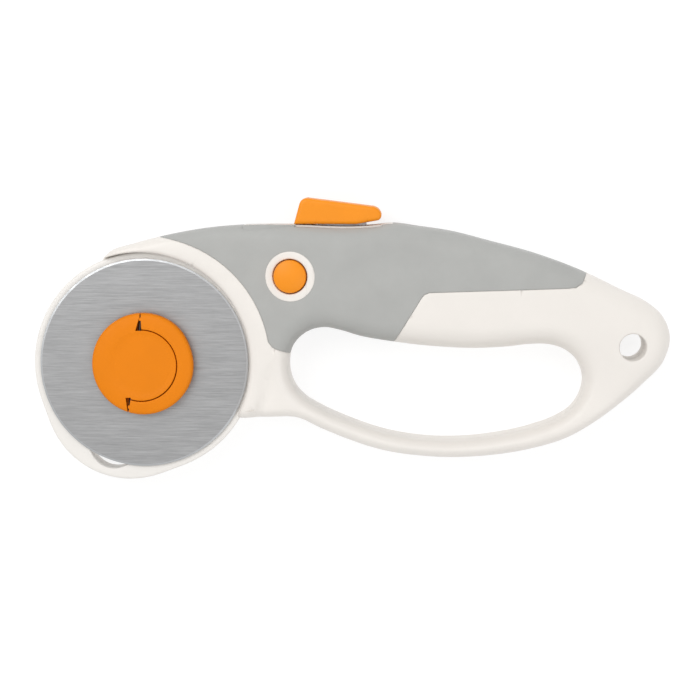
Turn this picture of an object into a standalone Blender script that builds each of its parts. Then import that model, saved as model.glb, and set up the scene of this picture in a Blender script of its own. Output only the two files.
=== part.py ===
"""Rotary cutter: a 60 mm round blade on the head of a closed loop handle.

The cutter lies on its back: X runs from the blade to the tail, Y from the finger loop up to the
thumb slide, and Z from the back face (z = 0) to the knob, along the blade's axis.
The origin is the centre of the cutter's outline, on the plane that its back rests on.

Pushing the thumb slide forward moves the drive pin along X. The pin runs in an inclined slot of the
blade carriage, which can only move along the long slot of the head, so the blade comes out.
"""
import math

import bmesh
import bpy
from mathutils import Matrix, Vector

MM = 0.001

# Driving dimensions in millimetres. X and Y are measured from the blade's axis at rest.
HUB = (-59.7, -6.773)          # the blade's axis, seen from the origin
GAP = 0.3                      # between pieces that touch
BLADE_R = 30.0
BLADE_Z = (15.1, 15.4)
BLADE_BORE_R = 4.05

MID_Z = 11.2                   # parting plane of the two handle shells
GRIP_HALF = 11.2               # half the handle's thickness at the grip
THIN_HALF = 7.0                # the same at the head and the loop
EDGE_R = 2.8                   # rounding of the handle's edges
GRIP_SKIN = 1.8                # thickness of the soft overmould

HEAD_R = 31.9                  # guard plate and the pan behind it
BULGE = (-4.5, -9.55, 24.45)   # lower swelling of the head: centre and radius
PAN_Z = (3.9, 12.1)
PAN_FLOOR_Z = 6.2
GUARD_Z = (12.4, 14.6)
LIP = (-1.1, 0.1, 31.7)        # edge of the front shell beside the blade: centre and radius

SLOT_R = 6.9                   # half width of the head's long slot
SLOT_TOP = (1.8, 4.7)
SLOT_END = (-9.1, -23.9)
BOSS_R = 6.5                   # carriage boss that runs in it
COLLAR_START = (-7.9, -20.8)   # the wall round the slot stops here, clear of the advanced arm

SLIDE_TRAVEL = 14.5            # thumb slide, along -X
CARRIAGE_RATIO = 1.2           # carriage travel for each millimetre of thumb slide travel
PIN_AT = (33.0, 8.0)
PIN_R = 1.5

BUTTON_AT = (42.3, 25.2)
BUTTON_R = 4.95
BUTTON_RING_R = 7.13
HOLE_AT = (140.3, 4.8)         # hanging hole
HOLE_R = 4.15

KNOB_R = 14.6
KNOB_DISC_R = 10.3
KNOB_Z = (16.8, 20.4)
BAIL_Z = (18.0, 20.4)
BAIL_HINGE_X = -2.1            # hinge line, left of the blade's axis
BAIL_HINGE_TILT = math.radians(7.6)

TRACK_Y = 39.9                 # flat on the handle's top edge, under the thumb slide
TRACK_X = (28.8, 69.0)
TAB_X = (50.0, 64.0)           # drive plate tab that reaches up into the thumb slide
PLATE_Z = (9.3, 11.3)
ARM_Z = (6.6, 8.9)

CORNER = "corner"
TOP_EDGE = [
    (-11.0, 30.8), (-8.8, 32.8), (-5.4, 33.8), (5.8, 36.8), (19.9, 39.3), (26.2, 40.0),
    (TRACK_X[0], TRACK_Y, CORNER), (TRACK_X[1], TRACK_Y, CORNER), (70.2, 40.5), (79.5, 39.5),
    (88.1, 38.2), (99.2, 35.3), (113.1, 31.3), (127.7, 25.7), (137.6, 20.9)]
TAIL_EDGE = [
    (144.7, 17.5), (149.0, 13.7), (151.3, 7.3), (149.7, 1.0), (143.2, -6.2), (136.3, -12.1),
    (129.4, -17.2), (122.1, -21.4), (111.6, -24.7)]
LOOP_EDGE = [
    (97.3, -26.9), (88.4, -27.3), (80.0, -26.9), (69.4, -25.4), (59.0, -22.2), (50.7, -18.8),
    (44.3, -15.3, CORNER), (27.8, -16.0, CORNER)]
HEAD_CHORD = [(15.0, -8.0, CORNER), (-5.0, 12.0, CORNER), (-16.5, 22.5, CORNER)]
OPENING_TOP = [
    (41.6, -0.6), (42.3, 3.7), (44.7, 7.4), (48.1, 9.7), (52.1, 10.5), (56.5, 9.7), (62.2, 8.0),
    (70.0, 6.6), (83.5, 5.0), (94.0, 4.5), (104.0, 4.9), (111.4, 5.7)]
OPENING_BOTTOM = [
    (116.3, 5.6), (121.2, 3.9), (125.0, 0.3), (126.8, -4.7), (126.0, -9.3), (123.5, -13.3),
    (119.0, -16.4), (111.8, -19.1), (100.8, -21.5), (90.4, -22.5), (80.0, -22.2), (69.4, -20.4),
    (58.7, -16.8), (50.7, -12.0), (46.2, -9.4), (43.2, -6.0)]

GRIP_ARC_R = 36.15             # front boundary of the overmould, round the blade's axis
GRIP_LOWER_SEAM = [(72.6, 6.3), (80.3, 19.0), (82.2, 20.2), (123.0, 21.4), (126.0, 22.3), (127.8, 25.7)]

HOUSING_SCREWS = [(38.0, -9.5), (18.5, 34.2), (76.0, 26.0), (118.0, 17.0), (132.5, -5.0)]
GUARD_SCREWS = [(-24.0, 12.0), (-9.0, 25.0), (15.0, -23.0)]

WHITE = (0.86, 0.84, 0.80)
GREY = (0.43, 0.44, 0.43)
ORANGE = (0.88, 0.30, 0.03)
STEEL = (0.60, 0.60, 0.61)
BRASS = (0.66, 0.50, 0.24)


# ---------------------------------------------------------------- scene helpers

def clear_scene():
    for obj in list(bpy.data.objects):
        bpy.data.objects.remove(obj, do_unlink=True)


def collection(name):
    group = bpy.data.collections.get(name) or bpy.data.collections.new(name)
    if group.name not in bpy.context.scene.collection.children:
        bpy.context.scene.collection.children.link(group)
    return group


def add(name, data):
    obj = bpy.data.objects.new(name, data)
    collection("rotary_cutter").objects.link(obj)
    return obj


def as_tool(obj):
    """Keep an object only as a cutter or a guide."""
    if obj.name in collection("rotary_cutter").objects:
        collection("rotary_cutter").objects.unlink(obj)
        collection("cutters").objects.link(obj)
    obj.hide_render = True
    obj.display_type = "WIRE"
    return obj


def finish(obj, colour, roughness, metallic=0.0):
    """Give a piece its own material, with smooth round faces and crisp edges."""
    material = bpy.data.materials.new(obj.name)
    material.use_nodes = True
    shader = material.node_tree.nodes["Principled BSDF"]
    shader.inputs["Base Color"].default_value = (*colour, 1.0)
    shader.inputs["Roughness"].default_value = roughness
    shader.inputs["Metallic"].default_value = metallic
    obj.data.materials.clear()
    obj.data.materials.append(material)
    return obj


def boolean(target, tool, operation="DIFFERENCE"):
    step = target.modifiers.new(tool.name, "BOOLEAN")
    step.operation = operation
    step.solver = "EXACT"
    step.object = as_tool(tool)
    return target


def world(x, y, z=0.0):
    """A point given from the blade's axis in millimetres, in the cutter's frame in metres."""
    return Vector(((HUB[0] + x) * MM, (HUB[1] + y) * MM, z * MM))


# ---------------------------------------------------------------- outlines

def smooth_loop(points, spacing, most_turn=16.0):
    """Closed smooth line through the given points, with sharp corners, as short straight steps.

    A step is about as long as spacing, or shorter where the line turns by more than most_turn degrees."""
    count = len(points)
    places = [Vector(p[:2]) for p in points]
    sharp = [len(p) > 2 for p in points]

    def direction(i):
        back, ahead = places[i] - places[i - 1], places[(i + 1) % count] - places[i]
        mix = back.normalized() * ahead.length + ahead.normalized() * back.length
        return mix.normalized()

    loop = []
    for i in range(count):
        j = (i + 1) % count
        chord = places[j] - places[i]
        leave = chord if sharp[i] else direction(i) * chord.length
        arrive = chord if sharp[j] else direction(j) * chord.length
        turn = math.degrees(leave.angle(chord) + chord.angle(arrive))
        steps = max(1, round(chord.length / spacing), math.ceil(turn / most_turn))
        if sharp[i] and sharp[j]:
            steps = 1
        for k in range(steps):
            t = k / steps
            point = (places[i] * (2 * t**3 - 3 * t**2 + 1) + leave * (t**3 - 2 * t**2 + t)
                     + places[j] * (3 * t**2 - 2 * t**3) + arrive * (t**3 - t**2))
            loop.append((point.x, point.y))
    return loop


def arc(centre, radius, start, end, steps):
    """Points on a circle, from one angle to another in degrees."""
    angles = (math.radians(start + (end - start) * k / steps) for k in range(steps + 1))
    return [(centre[0] + radius * math.cos(a), centre[1] + radius * math.sin(a)) for a in angles]


def capsule(start, end, radius, steps=9):
    """Outline of a slot with round ends."""
    turn = math.degrees(math.atan2(end[1] - start[1], end[0] - start[0]))
    return arc(end, radius, turn - 90, turn + 90, steps) + arc(start, radius, turn + 90, turn + 270, steps)


def offset_run(run, distance):
    """Shift an open run of points to its right-hand side."""
    shifted = []
    for i, point in enumerate(run):
        before, after = run[max(i - 1, 0)], run[min(i + 1, len(run) - 1)]
        along = (Vector(after) - Vector(before)).normalized()
        shifted.append((point[0] + along.y * distance, point[1] - along.x * distance))
    return shifted


def raised(name, loops, low, high, rounding=0.0, steps=2):
    """A flat outline with its holes, raised from low to high, its rims rounded on request."""
    curve = bpy.data.curves.new(name, "CURVE")
    curve.dimensions = "2D"
    curve.fill_mode = "BOTH"
    curve.extrude = ((high - low) / 2 - rounding) * MM
    curve.bevel_depth = rounding * MM
    curve.bevel_resolution = steps
    curve.offset = -rounding * MM
    for loop in loops:
        spline = curve.splines.new("POLY")
        spline.points.add(len(loop) - 1)
        for place, (x, y) in zip(spline.points, loop):
            place.co = (*world(x, y).xy, 0.0, 1.0)
        spline.use_cyclic_u = True
    guide = bpy.data.objects.new(name, curve)
    guide.location.z = (low + high) / 2 * MM
    bpy.context.scene.collection.objects.link(guide)
    bpy.context.view_layer.update()
    evaluated = guide.evaluated_get(bpy.context.evaluated_depsgraph_get())
    mesh = bpy.data.meshes.new_from_object(evaluated)
    mesh.transform(guide.matrix_world)
    bpy.data.objects.remove(guide, do_unlink=True)
    shape = bmesh.new()
    shape.from_mesh(mesh)
    bmesh.ops.remove_doubles(shape, verts=shape.verts, dist=0.000002)
    bmesh.ops.recalc_face_normals(shape, faces=shape.faces)
    shape.to_mesh(mesh)
    shape.free()
    mesh.name = name
    return add(name, mesh)


# ---------------------------------------------------------------- simple solids

def cylinder(name, centre, radius, low, high, sides=24):
    shape = bmesh.new()
    bmesh.ops.create_cone(shape, cap_ends=True, segments=sides, radius1=radius * MM,
                          radius2=radius * MM, depth=(high - low) * MM)
    mesh = bpy.data.meshes.new(name)
    shape.to_mesh(mesh)
    shape.free()
    obj = add(name, mesh)
    obj.location = world(centre[0], centre[1], (low + high) / 2)
    return obj


def block(name, low, high):
    """A box between two corners."""
    shape = bmesh.new()
    bmesh.ops.create_cube(shape, size=1.0)
    size = [(b - a) * MM for a, b in zip(low, high)]
    bmesh.ops.scale(shape, vec=size, verts=shape.verts)
    mesh = bpy.data.meshes.new(name)
    shape.to_mesh(mesh)
    shape.free()
    obj = add(name, mesh)
    obj.location = world(*[(a + b) / 2 for a, b in zip(low, high)])
    return obj


def turned(name, centre, profile, sides=24, bore=False):
    """A turned piece: its profile, as radius and height, runs down the outer side."""
    mesh = bpy.data.meshes.new(name)
    edges = [(i, i + 1) for i in range(len(profile) - 1)]
    if bore:
        edges.append((len(profile) - 1, 0))
    mesh.from_pydata([(r * MM, 0.0, z * MM) for r, z in profile], edges, [])
    obj = add(name, mesh)
    obj.location = world(*centre)
    turn = obj.modifiers.new("turn", "SCREW")
    turn.axis = "Z"
    turn.steps = turn.render_steps = sides
    turn.use_merge_vertices = True
    turn.merge_threshold = 0.00001
    return obj


# ---------------------------------------------------------------- handle body

def blend(value, start, end):
    """Smooth change from 0 at start to 1 at end."""
    t = min(max((value - start) / (end - start), 0.0), 1.0)
    return t * t * (3 - 2 * t)


def front_half(x, y):
    """Height of the handle's front face above the parting plane."""
    along = blend(x, 28, 52) * (1 - 0.85 * blend(x, 105, 150))
    return THIN_HALF + (GRIP_HALF - THIN_HALF) * along * blend(y, -12, 12)


def back_half(x, y):
    """Depth of the handle's back face below the parting plane."""
    along = blend(x, 26, 40) * (1 - 0.8 * blend(x, 112, 150))
    return THIN_HALF + (GRIP_HALF - THIN_HALF) * along


def shape_thickness(obj, inset=0.0):
    """Thin a slab of the grip's full thickness towards the head, the loop and the tail."""
    shape = bmesh.new()
    shape.from_mesh(obj.data)
    cuts = [(x, (1, 0, 0)) for x in (28, 34, 40, 46, 52, 105, 116, 127, 138, 147)]
    cuts += [(y, (0, 1, 0)) for y in (-12, -4, 4, 12)]
    for place, normal in cuts:
        bmesh.ops.bisect_plane(shape, geom=shape.verts[:] + shape.edges[:] + shape.faces[:],
                               dist=0.0000005, plane_co=world(place, place), plane_no=normal)
    full = GRIP_HALF - inset
    for vert in shape.verts:
        x, y = vert.co.x / MM - HUB[0], vert.co.y / MM - HUB[1]
        height = vert.co.z / MM - MID_Z
        half = front_half(x, y) if height > 0 else back_half(x, y)
        vert.co.z = (MID_Z + height / full * (half - inset)) * MM
    bmesh.ops.triangulate(shape, faces=shape.faces)
    shape.to_mesh(obj.data)
    shape.free()
    return obj


def body_slab(name):
    """The whole handle without its head: outline, finger opening and thickness."""
    outer = smooth_loop(TOP_EDGE + TAIL_EDGE + LOOP_EDGE + HEAD_CHORD, 9.0)
    opening = smooth_loop(OPENING_TOP + OPENING_BOTTOM, 9.0)
    slab = raised(name, [outer, opening], MID_Z - GRIP_HALF, MID_Z + GRIP_HALF, EDGE_R)
    return shape_thickness(slab)


def grip_zone(name, margin):
    """Straight-sided zone of the overmould; it runs out past the handle's own edges."""
    radius = GRIP_ARC_R - margin
    front = arc((0, 0), radius, 84.5, 10.0, 22)
    web = [(37.2, 4.7 - margin), (39.0, 3.9 - margin), (46.0, 1.6 - margin)]
    lower = [(x + margin, y - margin) for x, y in GRIP_LOWER_SEAM]
    outside = [(130.2, 31.0), (100.0, 46.0), (20.0, 50.0), (3.0, 41.0)]
    zone = raised(name, [front + web + [(70.5, 2.5)] + lower + outside], -2.0, 25.0)
    track = block(name + "_track", (TRACK_X[0] + margin, TRACK_Y - 3.6, 5.4 + margin),
                  (TRACK_X[1] + 2.5 - margin, TRACK_Y + 4.0, 17.0 - margin))
    ring = cylinder(name + "_ring", BUTTON_AT, BUTTON_RING_R + GAP - margin, MID_Z, 26.0, 36)
    boolean(zone, track)
    return boolean(zone, ring)


def grip_core(name, inset):
    """The handle under the overmould: inset from the outer edges, longer than the overmould."""
    whole = smooth_loop(TOP_EDGE + TAIL_EDGE + LOOP_EDGE + HEAD_CHORD, 9.0)
    top = [p for p in whole if p[1] > 19.5 and -1 < p[0] < 140]
    around = smooth_loop(OPENING_TOP + OPENING_BOTTOM, 9.0)
    under = [p for p in around if p[1] > 0 and p[0] < 90]
    outline = offset_run(top, inset) + [(139.0, 8.0), (96.0, 7.0)]
    outline += offset_run(under[::-1], inset) + [(36.0, -4.0), (20.0, 10.0), (-3.0, 28.0)]
    core = raised(name, [outline], MID_Z - GRIP_HALF + inset, MID_Z + GRIP_HALF - inset, 1.2, 1)
    return shape_thickness(core, inset)


# ---------------------------------------------------------------- handle pieces

def head_outline(radius=HEAD_R, margin=0.0, steps=72):
    """Round head with its lower swelling, as the farther of the two circles in each direction."""
    swell_x, swell_y, swell_r = BULGE
    loop = []
    for k in range(steps):
        angle = math.tau * k / steps
        lean = swell_x * math.cos(angle) + swell_y * math.sin(angle)
        swell = lean + math.sqrt(swell_r**2 - swell_x**2 - swell_y**2 + lean**2)
        reach = max(radius, swell) - margin
        loop.append((reach * math.cos(angle), reach * math.sin(angle)))
    return loop


def grip_hollow(name):
    outline = [(47.0, 15.2), (54.0, 15.8), (62.0, 13.8), (71.0, 12.2), (82.0, 15.4), (108.0, 15.0),
               (108.0, 27.0), (98.0, 30.5), (85.0, 33.6), (72.0, 35.4), (47.0, 35.5)]
    return raised(name, [outline], 4.4, 18.0)


def mechanism_hollow(name):
    """Room for the carriage's arm and the drive plate, from the head to the grip."""
    outline = [(6.0, 16.0), (15.5, 30.0), (24.0, 30.6), (27.0, 33.2), (33.0, 35.3), (49.0, 35.6),
               (49.0, 15.6), (41.5, 13.2), (39.0, 9.0), (37.5, 2.0), (34.0, -4.0), (32.5, -13.3),
               (23.0, -14.8), (10.0, -5.0)]
    return raised(name, [outline], PAN_FLOOR_Z + 0.05, 12.3)


def tab_slot(name):
    """Opening in the handle's top edge for the drive plate's tab, as long as its travel."""
    return block(name, (TAB_X[0] - SLIDE_TRAVEL - 0.6, 34.5, PLATE_Z[0] - 0.6),
                 (TAB_X[1] + 0.6, TRACK_Y + 2.0, PLATE_Z[1] + 0.6))


def half_space(name, low, high):
    return block(name, (-40.0, -50.0, low), (160.0, 60.0, high))


def trench(name):
    """Recess of a shell that the overmould fills."""
    return boolean(grip_zone(name, GAP), grip_core(name + "_core", GRIP_SKIN + GAP))


def make_front_shell():
    shell = body_slab("front_shell")
    boolean(shell, half_space("front_half", MID_Z + GAP / 2, 30.0), "INTERSECT")
    boolean(shell, cylinder("lip_opening", LIP[:2], LIP[2], 5.0, 30.0, 80))
    path = raised("blade_path", [capsule((0, 0), carriage_end(), BLADE_R + 0.7, 24)], 14.8, 30.0)
    boolean(shell, path)
    boolean(shell, cylinder("guard_pocket", (0, 0), HEAD_R + 0.4, 5.0, GUARD_Z[1] + GAP, 72))
    boolean(shell, trench("front_trench"))
    boolean(shell, grip_hollow("front_hollow"))
    boolean(shell, mechanism_hollow("front_mechanism_hollow"))
    boss = cylinder("front_boss", HOUSING_SCREWS[2], 3.6, MID_Z + GAP / 2 + 0.05, 18.6)
    boolean(shell, boss, "UNION")
    boolean(shell, cylinder("button_bore", BUTTON_AT, BUTTON_R + GAP, 5.0, 30.0, 32))
    boolean(shell, cylinder("flange_bore", BUTTON_AT, 6.6, 5.0, 17.6, 28))
    boolean(shell, cylinder("front_hanging_hole", HOLE_AT, HOLE_R, -5.0, 30.0, 28))
    boolean(shell, tab_slot("front_tab_slot"))
    for number, place in enumerate(HOUSING_SCREWS, 1):
        boolean(shell, cylinder(f"pilot_{number}", place, 1.4, 5.0, 15.5, 16))
    return finish(shell, WHITE, 0.35)


def make_rear_shell():
    shell = body_slab("rear_shell")
    boolean(shell, half_space("rear_half", -5.0, MID_Z - GAP / 2), "INTERSECT")
    boolean(shell, trench("rear_trench"))
    pan = raised("pan", [head_outline()], PAN_Z[0], PAN_Z[1] + 6.0, 1.8)
    boolean(pan, half_space("pan_top", -5.0, PAN_Z[1]), "INTERSECT")
    boolean(shell, pan, "UNION")
    boolean(shell, raised("pan_hollow", [head_outline(HEAD_R, 2.7)], PAN_FLOOR_Z, 20.0))
    boolean(shell, grip_hollow("rear_hollow"))
    boolean(shell, mechanism_hollow("rear_mechanism_hollow"))
    collar = raised("slot_collar", [capsule(COLLAR_START, SLOT_END, SLOT_R + 1.6)], 5.2, PAN_Z[1] - 0.1)
    boolean(shell, collar, "UNION")
    boss = cylinder("rear_boss", HOUSING_SCREWS[2], 4.4, 3.9, MID_Z - GAP / 2 - 0.05)
    boolean(shell, boss, "UNION")
    for number, place in enumerate(GUARD_SCREWS, 1):
        boolean(shell, cylinder(f"pan_boss_{number}", place, 3.3, 5.0, 10.0, 20), "UNION")
        boolean(shell, cylinder(f"boss_room_{number}", place, 3.5, 9.2, 20.0, 20))
    boolean(shell, raised("pan_slot", [capsule(SLOT_TOP, SLOT_END, SLOT_R)], 0.0, 20.0))
    for number, place in enumerate(GUARD_SCREWS, 1):
        boolean(shell, cylinder(f"pan_recess_{number}", place, 2.6, 0.0, 6.3, 20))
        boolean(shell, cylinder(f"pan_hole_{number}", place, 1.4, 5.0, 12.0, 16))
    for number, place in enumerate(HOUSING_SCREWS, 1):
        boolean(shell, cylinder(f"recess_{number}", place, 3.0, -2.0, 7.3, 24))
        boolean(shell, cylinder(f"hole_{number}", place, 1.6, 5.0, 15.0, 16))
    boolean(shell, cylinder("spring_cup", BUTTON_AT, 3.7, 4.2, 8.0, 24))
    boolean(shell, cylinder("rear_hanging_hole", HOLE_AT, HOLE_R, -5.0, 30.0, 28))
    boolean(shell, tab_slot("rear_tab_slot"))
    return finish(shell, WHITE, 0.35)


def make_grip(name, low, high):
    """Soft overmould of one shell."""
    grip = body_slab(name)
    boolean(grip, grip_zone(name + "_zone", 0.0), "INTERSECT")
    boolean(grip, grip_core(name + "_core", GRIP_SKIN))
    boolean(grip, half_space(name + "_half", low, high), "INTERSECT")
    if low < 0:
        for number in (2, 3):
            place = HOUSING_SCREWS[number - 1]
            boolean(grip, cylinder(f"grip_recess_{number}", place, 3.3, -2.0, 8.0, 24))
    return finish(grip, GREY, 0.75)


def make_guard_plate():
    guard = raised("guard_plate", [head_outline()], GUARD_Z[0] - 2.0, GUARD_Z[1], 0.8)
    boolean(guard, half_space("guard_back", GUARD_Z[0], 20.0), "INTERSECT")
    for number, place in enumerate(GUARD_SCREWS, 1):
        boolean(guard, cylinder(f"guard_boss_{number}", place, 3.1, 9.5, 13.0, 24), "UNION")
        boolean(guard, cylinder(f"guard_pilot_{number}", place, 1.25, 5.0, 13.2, 16))
    boolean(guard, raised("guard_slot", [capsule(SLOT_TOP, SLOT_END, SLOT_R)], 5.0, 20.0))
    return finish(guard, WHITE, 0.35)


def turned_screw(name, centre, head_r, head_z, shank_r, tip_z, sides=14):
    low, high = head_z
    profile = [(0.0, tip_z), (shank_r, tip_z - 1.0), (shank_r, high), (head_r, high),
               (head_r, low + 0.4), (head_r - 0.4, low), (0.0, low)]
    screw = turned(name, centre, profile, sides)
    for turn, (half_x, half_y) in enumerate([(head_r * 0.55, 0.35), (0.35, head_r * 0.55)]):
        x, y = centre
        recess = block(f"{name}_recess_{turn}", (x - half_x, y - half_y, low - 1.0),
                       (x + half_x, y + half_y, low + 0.8 + 0.05 * turn))
        boolean(screw, recess)
    return finish(screw, STEEL, 0.35, 1.0)


def make_screws():
    for number, place in enumerate(HOUSING_SCREWS, 1):
        turned_screw(f"housing_screw_{number}", place, 2.7, (5.2, 7.0), 1.25, 15.2)
    for number, place in enumerate(GUARD_SCREWS, 1):
        turned_screw(f"guard_screw_{number}", place, 2.3, (4.5, 6.0), 1.1, 12.8)


# ---------------------------------------------------------------- blade group

def slot_direction():
    """Unit direction in which the blade comes out."""
    run = Vector(SLOT_END) - Vector(SLOT_TOP)
    return run.normalized()


def carriage_end():
    """Where the blade's axis stands when the blade is fully out."""
    end = slot_direction() * SLIDE_TRAVEL * CARRIAGE_RATIO
    return (end.x, end.y)


def cam_slot():
    """Path of the drive pin in the carriage, seen from the carriage."""
    step = Vector((-1.0, 0.0)) - slot_direction() * CARRIAGE_RATIO
    end = Vector(PIN_AT) + step * SLIDE_TRAVEL
    return capsule(PIN_AT, (end.x, end.y), PIN_R + GAP, 8)


def make_carriage():
    outline = smooth_loop([
        (-6.2, 2.0, CORNER), (-4.3, 8.4), (6.0, 16.6), (19.3, 26.6), (24.2, 28.3), (28.0, 26.2),
        (33.5, 16.4), (37.0, 9.4), (35.8, 4.9), (31.0, 3.6), (8.0, -0.6, CORNER), (6.2, -1.6, CORNER)], 3.0)
    carriage = raised("blade_carriage", [outline], *ARM_Z)
    boss = raised("carriage_boss", [capsule((1.5, 4.0), (0, 0), BOSS_R)], 4.3, 14.9)
    boolean(carriage, boss, "UNION")
    boolean(carriage, cylinder("carriage_spigot", (0, 0), 3.9, 14.0, 15.5), "UNION")
    boolean(carriage, cylinder("axle_bore", (0, 0), 2.8, 0.0, 20.0))
    boolean(carriage, cylinder("bolt_head_recess", (0, 0), 4.8, 0.0, 7.3))
    boolean(carriage, raised("cam_slot", [cam_slot()], 5.0, 12.0))
    return finish(carriage, (0.18, 0.18, 0.19), 0.5)


def make_axle_bolt():
    profile = [(0.0, 19.0), (2.1, 19.0), (2.5, 18.6), (2.5, 7.0), (4.5, 7.0), (4.5, 5.1),
               (4.1, 4.7), (0.0, 4.7)]
    return finish(turned("axle_bolt", (0, 0), profile), STEEL, 0.3, 1.0)


def make_blade():
    low, high = BLADE_Z
    middle = (low + high) / 2
    profile = [(BLADE_R - 0.6, high), (BLADE_R, middle + 0.03), (BLADE_R, middle - 0.03),
               (BLADE_R - 0.6, low), (BLADE_BORE_R, low), (BLADE_BORE_R, high)]
    return finish(turned("blade", (0, 0), profile, 96, bore=True), STEEL, 0.28, 1.0)


def make_spring_washer():
    profile = [(7.2, 15.95), (7.2, 15.7), (3.0, 16.15), (3.0, 16.45)]
    return finish(turned("spring_washer", (0, 0), profile, 36, bore=True), STEEL, 0.3, 1.0)


# ---------------------------------------------------------------- knob and bail

def hinge_frame():
    """Foot of the bail's hinge line, its direction, and the normal towards the bail."""
    along = Vector((math.sin(BAIL_HINGE_TILT), math.cos(BAIL_HINGE_TILT)))
    normal = Vector((along.y, -along.x))
    foot = normal * (BAIL_HINGE_X * normal.x)
    return foot, along, normal


def hinge_point(distance, height):
    foot, along, _ = hinge_frame()
    place = foot + along * distance
    return (place.x, place.y, height)


def rim_arc(radius, shift, left_side, steps):
    """Part of a circle on one side of a line parallel to the hinge line."""
    foot, _, normal = hinge_frame()
    tilt = math.degrees(math.atan2(normal.y, normal.x))
    half = math.degrees(math.acos((foot.dot(normal) + shift) / radius))
    if left_side:
        return arc((0, 0), radius, tilt + half, tilt + 360 - half, steps)
    return arc((0, 0), radius, tilt + half, tilt - half, steps)


def rod(name, start, end, radius, sides=16):
    """A cylinder between two points given from the blade's axis."""
    a, b = world(*start), world(*end)
    shape = bmesh.new()
    bmesh.ops.create_cone(shape, cap_ends=True, segments=sides, radius1=radius * MM,
                          radius2=radius * MM, depth=(b - a).length)
    mesh = bpy.data.meshes.new(name)
    shape.to_mesh(mesh)
    shape.free()
    obj = add(name, mesh)
    obj.location = (a + b) / 2
    obj.rotation_euler = (b - a).to_track_quat("Z", "Y").to_euler()
    return obj


def make_knob():
    low, high = KNOB_Z
    profile = [(0.0, high), (KNOB_DISC_R - 0.6, high), (KNOB_DISC_R, high - 0.4),
               (KNOB_DISC_R, BAIL_Z[0] - GAP), (KNOB_R - 0.5, BAIL_Z[0] - GAP), (KNOB_R, BAIL_Z[0] - 0.6),
               (KNOB_R, low + 0.4), (KNOB_R - 0.5, low), (0.0, low)]
    knob = turned("knob", (0, 0), profile, 50)
    half_ring = raised("knob_fixed_half", [rim_arc(KNOB_R - 0.02, -1.5, True, 24)],
                       low + 0.2, high - 0.05, 0.7)
    boolean(knob, half_ring, "UNION")
    boolean(knob, cylinder("insert_pocket", (0, 0), 4.95, 10.0, 19.2, 6))
    axis_z = (BAIL_Z[0] + BAIL_Z[1]) / 2
    for side in (1, -1):
        bore = rod(f"pin_bore_{side}", hinge_point(side * 8.6, axis_z),
                   hinge_point(side * 16.0, axis_z), 0.65)
        boolean(knob, bore)
    return finish(knob, ORANGE, 0.35)


def make_bail():
    outline = rim_arc(KNOB_R, 0.0, False, 24) + rim_arc(KNOB_DISC_R + GAP, 0.0, False, 20)[::-1]
    bail = raised("bail", [outline], *BAIL_Z)
    axis_z = (BAIL_Z[0] + BAIL_Z[1]) / 2
    thick = (BAIL_Z[1] - BAIL_Z[0]) / 2 - 0.01
    for side in (1, -1):
        ear = rod(f"bail_ear_{side}", hinge_point(side * 10.45, axis_z),
                  hinge_point(side * 14.25, axis_z), thick, 24)
        boolean(bail, ear, "UNION")
        bore = rod(f"ear_bore_{side}", hinge_point(side * 8.6, axis_z),
                   hinge_point(side * 16.0, axis_z), 0.65)
        boolean(bail, bore)
    return finish(bail, ORANGE, 0.35)


def make_bail_pin(name, side):
    axis_z = (BAIL_Z[0] + BAIL_Z[1]) / 2
    pin = rod(name, hinge_point(side * 9.0, axis_z), hinge_point(side * 13.9, axis_z), 0.55)
    return finish(pin, STEEL, 0.3, 1.0)


def make_knob_insert():
    insert = cylinder("knob_insert", (0, 0), 4.6, 16.95, 18.9, 6)
    boolean(insert, cylinder("insert_bore", (0, 0), 2.7, 10.0, 20.0, 32))
    return finish(insert, BRASS, 0.35, 1.0)


# ---------------------------------------------------------------- slide and button

def make_thumb_slide():
    outline = smooth_loop([
        (43.4, 40.2, CORNER), (44.5, 44.3, CORNER), (45.1, 46.1), (46.0, 47.2), (47.3, 47.5, CORNER),
        (66.0, 45.1, CORNER), (67.2, 44.5), (68.3, 42.9), (68.2, 41.7), (67.2, 40.6),
        (65.6, 40.2, CORNER)], 3.0)
    slide = raised("thumb_slide", [outline], 4.7, 17.7, 0.9)
    socket = block("tab_socket", (TAB_X[0] - GAP, 39.0, PLATE_Z[0] - GAP),
                   (TAB_X[1] + GAP, 43.5, PLATE_Z[1] + GAP))
    boolean(slide, socket)
    return finish(slide, ORANGE, 0.35)


def make_drive_plate():
    outline = smooth_loop([
        (29.3, 5.2), (28.9, 12.0), (32.5, 24.0), (37.5, 30.0), (44.0, 33.4), (TAB_X[0], 35.0, CORNER),
        (TAB_X[0], 43.2, CORNER), (TAB_X[1], 43.2, CORNER), (TAB_X[1], 35.0, CORNER), (66.4, 34.6),
        (66.4, 18.4), (60.0, 17.6), (47.0, 17.2), (40.3, 13.8), (36.2, 6.0), (33.0, 4.3)], 6.0)
    start = BUTTON_AT
    end = (BUTTON_AT[0] + SLIDE_TRAVEL, BUTTON_AT[1])
    plate = raised("drive_plate", [outline, capsule(start, end, 4.6)], *PLATE_Z)
    boolean(plate, cylinder("pin_hole", PIN_AT, PIN_R + 0.15, 5.0, 20.0, 20))
    return finish(plate, STEEL, 0.35, 1.0)


def make_drive_pin():
    profile = [(0.0, 11.1), (PIN_R - 0.2, 11.1), (PIN_R, 10.9), (PIN_R, 7.1),
               (PIN_R - 0.2, 6.9), (0.0, 6.9)]
    return finish(turned("drive_pin", PIN_AT, profile, 20), STEEL, 0.3, 1.0)


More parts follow.
